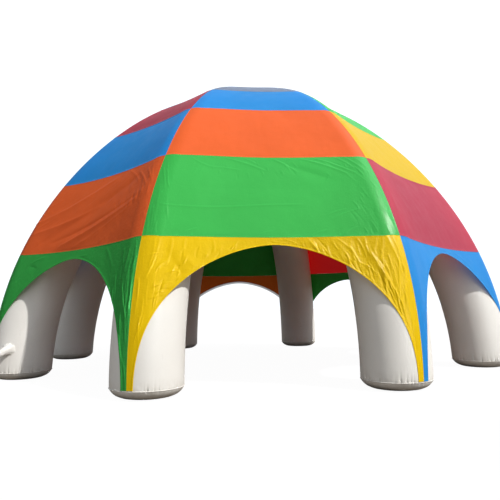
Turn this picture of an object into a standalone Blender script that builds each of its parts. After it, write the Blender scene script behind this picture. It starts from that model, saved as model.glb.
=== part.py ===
"""Inflatable spider tent: eight air-filled legs that meet at the crown, under a dome of coloured cloth.

Metres, +Z up. The origin is on the ground in the middle of the tent's footprint, and the front
archway faces -Y. Legs and cloth gores are numbered round the tent from the front: gore 0 is the
front one, between leg 0 on its left and leg 1 on its right, seen from outside.
"""
import math
import bpy
import bmesh
import numpy as np

# Driving sizes
TUBE_RADIUS = 0.6875        # every leg is an air tube 1.375 m thick
CLOTH = 0.002               # thickness of the canopy cloth
CLOTH_CLEAR = 0.0005        # cloth above the tube that it lies on
GAP = 0.0003                # between pieces sewn to each other
RING_HEIGHT = 0.19          # seam ring between a leg and its foot
STRIP_END = 0.20            # lower end of the cloth strips on a leg
STRIP_WIDTH = 0.115         # cloth strip beside the seam at the foot, measured across the archway
SAG = 0.115                 # dip of the cloth between two legs at the widest span
SAG_SPAN = 4.1              # span that has this dip
AXIS = (0.036, -0.118)      # the crown's place over the middle of the footprint

# The line where two gores are sewn together over a leg: distance from the axis and height
SEAM_KNOTS = (
    # name, radius, height
    ("ground", 6.800, 0.00),
    ("arch_top", 6.270, 2.95),
    ("low_top", 5.325, 4.757),
    ("middle_top", 4.087, 6.224),
    ("high_top", 2.830, 7.200),
    ("crown_turn", 1.050, 8.030),
    ("crown", 0.000, 8.310),
)
BANDS = ("arch", "low", "middle", "high", "crown")
BAND_ROWS = {"arch": 6, "low": 3, "middle": 3, "high": 3, "crown": 4}

# Legs: how far each stands turned from its even place, and how far out of the even circle at the ground
LEGS = (
    # turn in degrees, reach as a share of the radius
    (-1.51, -0.028),
    (1.51, -0.045),
    (0.24, 0.015),
    (0.00, 0.000),
    (-0.76, 0.004),
    (0.58, 0.004),
    (0.62, 0.024),
    (-0.69, 0.014),
)

# Gores: height of the archway and the colour of each band from the arch up
GORES = (
    # name, arch height, arch, low, middle, high, crown
    ("front", 2.77, "yellow", "green", "orange", "blue", "grey"),
    ("front_right", 2.75, "blue", "red", "yellow", "green", "grey"),
    ("right", 2.72, "orange", "yellow", "blue", "red", "grey"),
    ("back_right", 2.60, "green", "red", "orange", "yellow", "grey"),
    ("back", 2.58, "orange", "green", "red", "blue", "grey"),
    ("back_left", 2.72, "blue", "yellow", "green", "orange", "grey"),
    ("left", 2.74, "yellow", "blue", "red", "green", "grey"),
    ("front_left", 2.68, "green", "orange", "blue", "red", "grey"),
)

# Main folds in the cloth, each a soft ridge (or trough) along a line across its panel
FOLDS = (
    # gore, band, x from, up from, x to, up to, half width, height; x from the gore's middle, up along the seam
    ("front", "arch", 0.55, 2.96, 0.95, 2.68, 0.10, 0.020),
    ("front", "arch", 1.15, 2.98, 1.45, 2.51, 0.10, 0.022),
    ("front", "arch", 1.62, 2.98, 1.80, 2.26, 0.10, -0.024),
    ("front", "arch", 1.75, 2.81, 2.15, 2.06, 0.10, 0.026),
    ("front", "arch", -1.75, 2.66, -1.45, 2.36, 0.12, 0.020),
    ("front", "arch", -2.05, 2.76, -1.70, 2.16, 0.12, -0.018),
    ("front_left", "low", -1.60, 3.26, 1.20, 4.61, 0.16, -0.030),
    ("front_left", "low", -0.60, 3.11, 1.70, 4.11, 0.16, 0.024),
    ("front", "low", 0.40, 4.91, 1.20, 4.51, 0.14, -0.016),
)
FOLD_FADE = 0.5             # how the folds die out towards the seams of their panel
FOLD_SPLITS = 2             # rows of cells per plain row, and cells across, in a panel that has folds
FOLD_CELLS = 22
PLAIN_CELLS = 4             # cells across the free cloth between two legs elsewhere
CONTACT_CELLS = 2           # cells across the cloth that lies on a tube, each side of its seam
TUBE_BACK_CELLS = 13        # cells round the rest of the tube
CROWN_TIP = 0.002           # the crown panels end this far from the axis
SHARP_ANGLE = math.radians(40)

# The archway: a rounded outline that stands nearly upright at the legs
ARCH_SIDE_POWER = 1.75
ARCH_TOP_POWER = 2.5
ARCH_POINTS = 11            # steps of each half's outline
CUT_HALF_WIDTH = 4.0
CUT_DEPTH = (3.0, 8.5)      # the cutter's reach out from the axis
CUT_BELOW = -0.5

# Tape sewn inside the edge of the back archway, across the cloth that is clear of the legs
TAPE_GORE = 4
TAPE_WIDTH = 0.09
TAPE_END = 0.15             # the tape stops this far short of the cloth's contact with a leg

# Foot: turned outline from the flat underside to the seam ring, as shares of the tube radius and heights
FOOT_OUTLINE = ((0.985, RING_HEIGHT - GAP), (0.955, 0.132), (0.885, 0.080), (0.775, 0.036), (0.640, 0.009),
                (0.500, 0.0))
FOOT_STEPS = 20

# Filling sleeve on the left front leg, a tied cloth duct that bends aside and droops
SLEEVE_LEG = 7
SLEEVE_ROW = 1              # its place on the tube: row from the ground and cell round from the seam
SLEEVE_CELL = 1
SLEEVE = (
    # out, aside, drop, radius
    (0.001, 0.000, 0.000, 0.142),
    (0.030, 0.000, 0.000, 0.122),
    (0.085, 0.012, 0.015, 0.098),
    (0.150, 0.040, 0.045, 0.088),
    (0.200, 0.080, 0.090, 0.080),
    (0.235, 0.125, 0.140, 0.062),
    (0.245, 0.145, 0.160, 0.038),
    (0.255, 0.165, 0.180, 0.050),
    (0.270, 0.195, 0.215, 0.068),
)

COLOURS = {
    "yellow": (0.83, 0.60, 0.01),
    "green": (0.06, 0.50, 0.10),
    "orange": (0.87, 0.16, 0.04),
    "blue": (0.03, 0.28, 0.80),
    "red": (0.62, 0.03, 0.05),
    "grey": (0.20, 0.24, 0.34),
    "white": (0.80, 0.78, 0.74),
}
CLOTH_ROUGHNESS = 0.45
VINYL_ROUGHNESS = 0.5


def clear_scene():
    for obj in list(bpy.data.objects):
        bpy.data.objects.remove(obj, do_unlink=True)


def make_collection(name):
    group = bpy.data.collections.new(name)
    bpy.context.scene.collection.children.link(group)
    return group


def make_material(name, colour, roughness):
    material = bpy.data.materials.new(name)
    material.use_nodes = True
    shader = material.node_tree.nodes["Principled BSDF"]
    shader.inputs["Base Color"].default_value = (*colour, 1.0)
    shader.inputs["Roughness"].default_value = roughness
    shader.inputs["Metallic"].default_value = 0.0
    return material


def add_mesh(name, bm, group, material=None, closed=True):
    """Turns a bmesh into an object; an open sheet keeps the side that its faces already show."""
    if closed:
        bmesh.ops.recalc_face_normals(bm, faces=bm.faces)
    mesh = bpy.data.meshes.new(name)
    bm.to_mesh(mesh)
    bm.free()
    if material is not None:
        mesh.materials.append(material)
    obj = bpy.data.objects.new(name, mesh)
    group.objects.link(obj)
    return obj


def grid_mesh(rows, closed=False):
    """A bmesh of quads between rows of points; closed joins each row's end to its start."""
    bm = bmesh.new()
    verts = [[bm.verts.new(point) for point in row] for row in rows]
    columns = len(rows[0])
    cells = columns if closed else columns - 1
    for low, high in zip(verts, verts[1:]):
        for k in range(cells):
            bm.faces.new((low[k], low[(k + 1) % columns], high[(k + 1) % columns], high[k]))
    return bm, verts


# Seam line

def spline_slopes(x, y, first, last):
    """Slopes at the knots of the smooth cubic through (x, y) whose end slopes are given."""
    count = len(x)
    step = np.diff(x)
    rise = np.diff(y) / step
    matrix = np.zeros((count, count))
    right = np.zeros(count)
    matrix[0, 0] = matrix[-1, -1] = 1.0
    right[0] = first
    right[-1] = last
    for k in range(1, count - 1):
        matrix[k, k - 1] = step[k]
        matrix[k, k] = 2 * (step[k - 1] + step[k])
        matrix[k, k + 1] = step[k - 1]
        right[k] = 3 * (step[k] * rise[k - 1] + step[k - 1] * rise[k])
    return np.linalg.solve(matrix, right)


def spline_value(x, y, slopes, s):
    """Height and slope of the cubic at s."""
    k = int(np.clip(np.searchsorted(x, s) - 1, 0, len(x) - 2))
    step = x[k + 1] - x[k]
    t = (s - x[k]) / step
    value = ((1 + 2 * t) * (1 - t) ** 2 * y[k] + t * (1 - t) ** 2 * step * slopes[k]
             + t * t * (3 - 2 * t) * y[k + 1] + t * t * (t - 1) * step * slopes[k + 1])
    slope = (6 * t * (t - 1) * (y[k] - y[k + 1]) / step
             + (1 - t) * (1 - 3 * t) * slopes[k] + t * (3 * t - 2) * slopes[k + 1])
    return value, slope


KNOT_RADIUS = np.array([knot[1] for knot in SEAM_KNOTS])
KNOT_HEIGHT = np.array([knot[2] for knot in SEAM_KNOTS])
KNOT_REACH = np.concatenate(([0.0], np.cumsum(np.hypot(np.diff(KNOT_RADIUS), np.diff(KNOT_HEIGHT)))))
RADIUS_SLOPES = spline_slopes(KNOT_REACH, KNOT_RADIUS, 0.0, -1.0)   # upright at the ground, level at the crown
HEIGHT_SLOPES = spline_slopes(KNOT_REACH, KNOT_HEIGHT, 1.0, 0.0)
CROWN_HEIGHT = KNOT_HEIGHT[-1]
UP = np.array([0.0, 0.0, 1.0])


def leg_angle(leg):
    """Direction of a leg round the axis, from the front (-Y) towards +X."""
    leg = leg % len(LEGS)
    pitch = 2 * math.pi / len(LEGS)
    return pitch * (leg - 0.5) + math.radians(LEGS[leg][0])


def half_gore(gore):
    """Half the angle between the two legs of a gore."""
    return ((leg_angle(gore + 1) - leg_angle(gore)) % (2 * math.pi)) / 2


def outward(angle):
    return np.array([math.sin(angle), -math.cos(angle), 0.0])


def sideways(angle):
    return np.array([math.cos(angle), math.sin(angle), 0.0])


def seam_frame(leg, s):
    """Point of a leg's seam line at length s, the outward normal there, and how upright the leg is."""
    angle = leg_angle(leg)
    reach = LEGS[leg % len(LEGS)][1]
    radius, radius_slope = spline_value(KNOT_REACH, KNOT_RADIUS, RADIUS_SLOPES, s)
    height, height_slope = spline_value(KNOT_REACH, KNOT_HEIGHT, HEIGHT_SLOPES, s)
    lean = 1 + reach * (1 - height / CROWN_HEIGHT)
    radius_slope = radius_slope * lean - radius * reach * height_slope / CROWN_HEIGHT
    length = math.hypot(radius_slope, height_slope)
    normal = outward(angle) * (height_slope / length) - UP * (radius_slope / length)
    point = outward(angle) * radius * lean + UP * height + np.array([*AXIS, 0.0])
    return point, normal, height_slope / length


def contact_angle(gore, leg, s):
    """How far round the tube of a leg the cloth of a gore lies on it before it crosses to the next leg."""
    upright = seam_frame(leg, s)[2]
    return math.atan(math.tan(half_gore(gore)) * upright)


def tube_point(leg, s, angle, radius):
    point, normal, _ = seam_frame(leg, s)
    centre = point - normal * TUBE_RADIUS
    return centre + radius * (math.cos(angle) * normal + math.sin(angle) * sideways(leg_angle(leg)))


def stations(band):
    """Lengths along the seam of a band's rows."""
    k = BANDS.index(band)
    top = KNOT_REACH[k + 1] if band != "crown" else KNOT_REACH[-1] - CROWN_TIP
    return list(np.linspace(KNOT_REACH[k], top, BAND_ROWS[band] + 1))


# Legs

def tube_ring(leg, s):
    """Points round a leg's tube: fine where the cloth lies on it, even round the rest."""
    right = contact_angle(leg, leg, s)
    left = contact_angle(leg - 1, leg, s)
    angles = [-left * k / CONTACT_CELLS for k in range(CONTACT_CELLS, 0, -1)]
    angles += [right * k / CONTACT_CELLS for k in range(CONTACT_CELLS + 1)]
    rest = 2 * math.pi - left - right
    angles += [right + rest * k / TUBE_BACK_CELLS for k in range(1, TUBE_BACK_CELLS)]
    return [tube_point(leg, s, angle, TUBE_RADIUS) for angle in angles]


def leg_stations():
    lengths = []
    for band in BANDS:
        lengths += stations(band)[:-1]
    return lengths + [KNOT_REACH[-1]]


def cut_flat(bm, point, normal):
    """Cuts away what lies on the normal's side of a plane and closes the cut."""
    cut = bmesh.ops.bisect_plane(bm, geom=bm.verts[:] + bm.edges[:] + bm.faces[:], plane_co=point,
                                 plane_no=normal, clear_outer=True)
    edges = [item for item in cut["geom_cut"] if isinstance(item, bmesh.types.BMEdge)]
    bmesh.ops.edgeloop_fill(bm, edges=edges)


def make_leg(leg, group, material):
    """An air tube from the seam ring up to the crown, where it is mitred against its two neighbours."""
    bm, verts = grid_mesh([tube_ring(leg, s) for s in leg_stations()], closed=True)
    bm.faces.new(verts[0])
    bm.faces.new(verts[-1])
    bmesh.ops.recalc_face_normals(bm, faces=bm.faces)
    cut_flat(bm, (0, 0, RING_HEIGHT), (0, 0, -1))
    for gore, side in ((leg, 1), (leg - 1, -1)):
        middle = leg_angle(gore) + half_gore(gore)
        normal = sideways(middle) * side
        cut_flat(bm, np.array([*AXIS, 0.0]) - normal * GAP / 2, normal)
    obj = add_mesh(f"leg_{leg + 1}", bm, group, material)
    obj.data.shade_smooth()
    obj.data.set_sharp_from_angle(angle=SHARP_ANGLE)
    return obj


def make_foot(leg, group, material):
    """The round end of a leg below its seam ring, with a flat underside on the ground."""
    point, normal, _ = seam_frame(leg, RING_HEIGHT)
    centre = point - normal * TUBE_RADIUS
    outline = [(0.0, FOOT_OUTLINE[0][1])]
    outline += [(share * TUBE_RADIUS, height) for share, height in FOOT_OUTLINE]
    outline += [(0.0, 0.0)]
    bm = bmesh.new()
    verts = [bm.verts.new((radius, 0, height)) for radius, height in outline]
    for low, high in zip(verts, verts[1:]):
        bm.edges.new((low, high))
    obj = add_mesh(f"foot_{leg + 1}", bm, group, material)
    obj.location = (centre[0], centre[1], 0.0)
    screw = obj.modifiers.new("turn", "SCREW")
    screw.steps = FOOT_STEPS
    screw.render_steps = FOOT_STEPS
    screw.use_merge_vertices = True
    screw.merge_threshold = 0.0001
    screw.use_normal_calculate = True
    screw.use_normal_flip = True
    return obj


def make_sleeve(group, material):
    """A tied cloth duct that stands out from one cell of the left front leg's tube."""
    lengths = leg_stations()[SLEEVE_ROW:SLEEVE_ROW + 2]
    low, high = (tube_ring(SLEEVE_LEG, s) for s in lengths)
    cell = 2 * CONTACT_CELLS + SLEEVE_CELL
    corners = [low[cell], low[cell + 1], high[cell + 1], high[cell]]
    seat = sum(corners) / len(corners)
    out = np.cross(corners[2] - corners[0], corners[3] - corners[1])
    out /= np.linalg.norm(out)
    if np.dot(out, seat - tube_point(SLEEVE_LEG, lengths[0], 0, 0)) < 0:
        out = -out
    curve = bpy.data.curves.new("sleeve", "CURVE")
    curve.dimensions = "3D"
    curve.bevel_depth = 1.0
    curve.bevel_resolution = 4
    curve.use_fill_caps = True
    spline = curve.splines.new("POLY")
    spline.points.add(len(SLEEVE) - 1)
    for point, (reach, aside, drop, radius) in zip(spline.points, SLEEVE):
        point.co = (*(seat + out * reach + np.cross(out, UP) * aside - UP * drop), 1.0)
        point.radius = radius
    curve.materials.append(material)
    obj = bpy.data.objects.new("sleeve", curve)
    group.objects.link(obj)
    return obj


# Canopy

def gore_normal(gore, s):
    """Outward direction of the middle of a gore at length s."""
    normal = seam_frame(gore, s)[1] + seam_frame(gore + 1, s)[1]
    return normal / np.linalg.norm(normal)


def cloth_row(gore, s, cells):
    """Underside of the cloth of a gore across one row: on one tube, straight over to the next, on that one."""
    radius = TUBE_RADIUS + CLOTH_CLEAR
    sides = []
    for leg, turn in ((gore, 1), (gore + 1, -1)):
        edge = sideways(leg_angle(leg)) * turn * GAP / 2
        last = contact_angle(gore, leg, s)
        shares = [k / CONTACT_CELLS for k in range(CONTACT_CELLS + 1)]
        sides.append([tube_point(leg, s, turn * last * share, radius) + edge * (1 - share) for share in shares])
    left, right = sides
    span = right[-1] - left[-1]
    length = np.linalg.norm(span)
    normal = gore_normal(gore, s)
    dip = SAG * min(1.0, length / SAG_SPAN) ** 2
    free = []
    for k in range(1, cells):
        share = k / cells
        free.append(left[-1] + span * share - normal * dip * 4 * share * (1 - share))
    return left + free + right[::-1]


def fold_height(gore_name, band, x, s):
    """Height of the folds that cross one point of a panel."""
    total = 0.0
    for name, fold_band, x0, s0, x1, s1, width, height in FOLDS:
        if (name, fold_band) != (gore_name, band):
            continue
        along = np.array([x1 - x0, s1 - s0])
        share = np.dot((x - x0, s - s0), along) / np.dot(along, along)
        share_in = min(max(share, 0.0), 1.0)
        distance = math.hypot(x - x0 - share_in * along[0], s - s0 - share_in * along[1])
        total += height * math.exp(-(distance / width) ** 2)
    return total


def panel_rows(gore, band):
    """Rows of points of one cloth panel, with its folds."""
    name = GORES[gore][0]
    folded = any(fold[:2] == (name, band) for fold in FOLDS)
    cells = FOLD_CELLS if folded else PLAIN_CELLS
    splits = FOLD_SPLITS if folded else 1
    lengths = stations(band)
    lengths[-1] -= GAP / 2
    if band != BANDS[0]:
        lengths[0] += GAP / 2
    rows = [cloth_row(gore, s, cells) for s in lengths]
    middle = leg_angle(gore) + half_gore(gore)
    fine = []
    for k, (low, high) in enumerate(zip(rows, rows[1:])):
        for step in range(splits + (k == len(rows) - 2)):
            share = step / splits
            s = lengths[k] * (1 - share) + lengths[k + 1] * share
            row = [a * (1 - share) + b * share for a, b in zip(low, high)]
            if folded:
                normal = gore_normal(gore, s)
                fade = math.sin(math.pi * (s - lengths[0]) / (lengths[-1] - lengths[0])) ** FOLD_FADE
                for column in range(CONTACT_CELLS + 1, CONTACT_CELLS + cells):
                    x = np.dot(row[column] - np.array([*AXIS, 0.0]), sideways(middle))
                    row[column] = row[column] + normal * fade * fold_height(name, band, x, s)
            fine.append(row)
    return fine


def arch_cutter(gore, group, grow=0.0):
    """A prism of the archway's outline, grown by a margin, with a low slab that trims the strips on the legs."""
    middle = leg_angle(gore) + half_gore(gore)
    across = sideways(middle)
    height = GORES[gore][1] + grow
    edge = []
    for leg, side in ((gore, -1), (gore + 1, 1)):
        foot = np.dot(seam_frame(leg, STRIP_END)[0] - np.array([*AXIS, 0.0]), across) * side
        half_width = foot - STRIP_WIDTH + grow
        points = []
        for k in range(ARCH_POINTS + 1):
            turn = math.pi / 2 * k / ARCH_POINTS
            x = half_width * math.cos(turn) ** (2 / ARCH_SIDE_POWER)
            z = height * math.sin(turn) ** (2 / ARCH_TOP_POWER)
            points.append((side * x, z))
        slab = [(side * CUT_HALF_WIDTH, CUT_BELOW), (side * CUT_HALF_WIDTH, STRIP_END),
                (side * half_width, STRIP_END)]
        edge.append(slab + [point for point in points if point[1] > STRIP_END])
    outline = edge[0] + edge[1][::-1][1:]
    bm = bmesh.new()
    near, far = CUT_DEPTH
    origin = np.array([*AXIS, 0.0])
    ring = [bm.verts.new(origin + outward(middle) * near + across * x + UP * z) for x, z in outline]
    face = bm.faces.new(ring)
    swept = bmesh.ops.extrude_face_region(bm, geom=[face])
    moved = [item for item in swept["geom"] if isinstance(item, bmesh.types.BMVert)]
    bmesh.ops.translate(bm, verts=moved, vec=outward(middle) * (far - near))
    cutter = add_mesh("archway", bm, group)
    cutter.hide_render = True
    cutter.display_type = "WIRE"
    return cutter


def thicken(obj, side):
    """Gives a sheet the cloth's thickness on its outer side (1) or inner side (-1)."""
    thick = obj.modifiers.new("thickness", "SOLIDIFY")
    thick.thickness = CLOTH
    thick.offset = side


def add_boolean(obj, operation, cutter):
    cut = obj.modifiers.new(operation.lower(), "BOOLEAN")
    cut.operation = operation
    cut.object = cutter


def make_panel(gore, band, group, cutters, material):
    """One cloth panel; the lowest one of a gore is cut out over its archway."""
    bm, _ = grid_mesh(panel_rows(gore, band))
    obj = add_mesh(f"cloth_{GORES[gore][0]}_{band}", bm, group, material, closed=False)
    thicken(obj, 1.0)
    if band == "arch":
        add_boolean(obj, "DIFFERENCE", arch_cutter(gore, cutters))
    obj.data.shade_smooth()
    return obj


def make_edge_tape(gore, group, cutters, material):
    """White tape along the inside of an archway's edge, under the cloth that is clear of both legs."""
    rows = []
    for s in stations("arch"):
        row = cloth_row(gore, s, PLAIN_CELLS)[CONTACT_CELLS:-CONTACT_CELLS]
        for end, inner in ((0, 1), (-1, -2)):
            run = row[inner] - row[end]
            row[end] = row[end] + run * TAPE_END / np.linalg.norm(run)
        rows.append([point - gore_normal(gore, s) * GAP for point in row])
    bm, _ = grid_mesh(rows)
    obj = add_mesh(f"edge_tape_{GORES[gore][0]}", bm, group, material, closed=False)
    thicken(obj, -1.0)
    add_boolean(obj, "INTERSECT", arch_cutter(gore, cutters, TAPE_WIDTH))
    add_boolean(obj, "DIFFERENCE", arch_cutter(gore, cutters))
    return obj


def main():
    clear_scene()
    tent = make_collection("inflatable_spider_tent")
    cutters = make_collection("cutters")
    vinyl = make_material("white_vinyl", COLOURS["white"], VINYL_ROUGHNESS)
    cloth = {name: make_material(f"{name}_cloth", COLOURS[name], CLOTH_ROUGHNESS)
             for name in COLOURS if name != "white"}
    for leg in range(len(LEGS)):
        make_leg(leg, tent, vinyl)
        make_foot(leg, tent, vinyl)
    make_sleeve(tent, vinyl)
    make_edge_tape(TAPE_GORE, tent, cutters, vinyl)
    for gore, row in enumerate(GORES):
        for band, colour in zip(BANDS, row[2:]):
            make_panel(gore, band, tent, cutters, cloth[colour])


main()
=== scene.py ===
"""Looks of an inflatable spider tent: gores of thin coated nylon over eight air-filled white legs.

Metres, +Z up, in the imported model's frame: the front archway faces -Y. The legs and the canopy are
made again here, finer, on the seam lines of the solids that they replace. Legs and gores are
numbered round the tent from the front, as in the solids: gore 0 is between leg 0 and leg 1. Only the
front gore's band seams depart from the solids': they bow up in the middle.
"""
import math

import bmesh
import bpy
import numpy as np
from mathutils import Matrix, Vector


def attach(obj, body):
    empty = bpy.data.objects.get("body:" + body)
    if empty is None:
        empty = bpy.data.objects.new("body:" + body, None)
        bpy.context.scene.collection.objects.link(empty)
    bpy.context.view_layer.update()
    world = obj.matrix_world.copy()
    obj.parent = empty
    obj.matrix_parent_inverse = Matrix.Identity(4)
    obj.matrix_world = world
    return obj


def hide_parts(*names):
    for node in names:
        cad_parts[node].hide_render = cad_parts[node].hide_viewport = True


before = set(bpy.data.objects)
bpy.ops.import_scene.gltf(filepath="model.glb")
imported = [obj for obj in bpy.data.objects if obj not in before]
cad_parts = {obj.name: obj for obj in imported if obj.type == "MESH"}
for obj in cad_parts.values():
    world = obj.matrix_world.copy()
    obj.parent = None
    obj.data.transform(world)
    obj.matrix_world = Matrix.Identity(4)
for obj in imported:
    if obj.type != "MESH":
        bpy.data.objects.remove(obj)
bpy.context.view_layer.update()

# Sizes shared with the solids
TUBE_RADIUS = 0.6875
RING_HEIGHT = 0.19  # seam ring between a leg and its foot
STRIP_END = 0.20  # lower end of the cloth strips on a leg
STRIP_WIDTH = 0.115  # cloth strip beside the seam at the foot, measured across the archway
SAG = 0.115  # dip of the cloth between two legs at the widest span
SAG_SPAN = 4.1
GAP = 0.0003
AXIS = np.array([0.036, -0.118, 0.0])
SEAM_KNOTS = (
    # name, radius, height
    ("ground", 6.800, 0.00),
    ("arch_top", 6.270, 2.95),
    ("low_top", 5.325, 4.757),
    ("middle_top", 4.087, 6.224),
    ("high_top", 2.830, 7.200),
    ("crown_turn", 1.050, 8.030),
    ("crown", 0.000, 8.310),
)
BANDS = ("arch", "low", "middle", "high", "crown")
# How far the band seam at each knot bows up along the cloth in the gore's middle
SEAM_BOW = {"front": (0.0, 0.042, 0.107, 0.120, 0.0, 0.0, 0.0)}
BOW_POWER = 4  # the higher, the flatter the bow's middle
LEGS = (
    # turn in degrees, reach as a share of the radius
    (-1.51, -0.028), (1.51, -0.045), (0.24, 0.015), (0.00, 0.000),
    (-0.76, 0.004), (0.58, 0.004), (0.62, 0.024), (-0.69, 0.014),
)
GORES = (
    # name, arch height, arch, low, middle, high; every crown is grey
    ("front", 2.77, "yellow", "green", "orange", "blue"),
    ("front_right", 2.75, "blue", "red", "yellow", "green"),
    ("right", 2.72, "orange", "yellow", "blue", "red"),
    ("back_right", 2.60, "green", "red", "orange", "yellow"),
    ("back", 2.58, "orange", "green", "red", "blue"),
    ("back_left", 2.72, "blue", "yellow", "green", "orange"),
    ("left", 2.74, "yellow", "blue", "red", "green"),
    ("front_left", 2.68, "green", "orange", "blue", "red"),
)
ARCH_SIDE_POWER = 1.75
ARCH_TOP_POWER = 2.5
CROWN_TIP = 0.002
TAPE_GORE = 4
TAPE_WIDTH = 0.09
TAPE_END = 0.15
TAPE_LAP = 0.012  # how far the tape's upper edge laps over the cloth
TAPE_SLOPE = 0.03  # over this width the cloth steps back to the tape's upper edge
TAPE_BELOW = 0.003
FAN_STEPS = 1201  # points along an archway from which an arch panel's lines are picked

# Cloth lift above the tubes, seams and hems
CLOTH_LIFT = 0.0015
SEAM_ROWS = (
    # distance from the sewn edge, lift of the doubled cloth
    (0.000, 0.0004), (0.003, 0.0030), (0.011, 0.0030), (0.018, 0.0000),
)
HEM_ROWS = (
    # distance from the free edge, lift; the first rows are the turned-in layer
    (0.030, 0.0002), (0.028, 0.0000), (0.004, 0.0000), (0.000, 0.0012),
    (0.000, 0.0036), (0.004, 0.0048), (0.027, 0.0046), (0.036, 0.0008),
)

# Cloth that a cut needs beyond its outline
HEM_TURN = 0.050  # 30 mm of hem and 20 mm turned under
SEAM_TURN = 0.025

# Cells of each panel: across and along a band, but along the archway and up from it for an arch panel
PANEL_CELLS = {
    # band: (front, front left, elsewhere)
    "arch": ((620, 140), (340, 80), (190, 36)),
    "low": ((400, 170), (260, 110), (84, 36)),
    "middle": ((110, 44), (80, 34), (64, 28)),
    "high": ((72, 34), (56, 28), (48, 24)),
    "crown": ((48, 36), (40, 32), (36, 30)),
}
FINE_GORES = {"front": 0, "front_left": 1}

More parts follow.
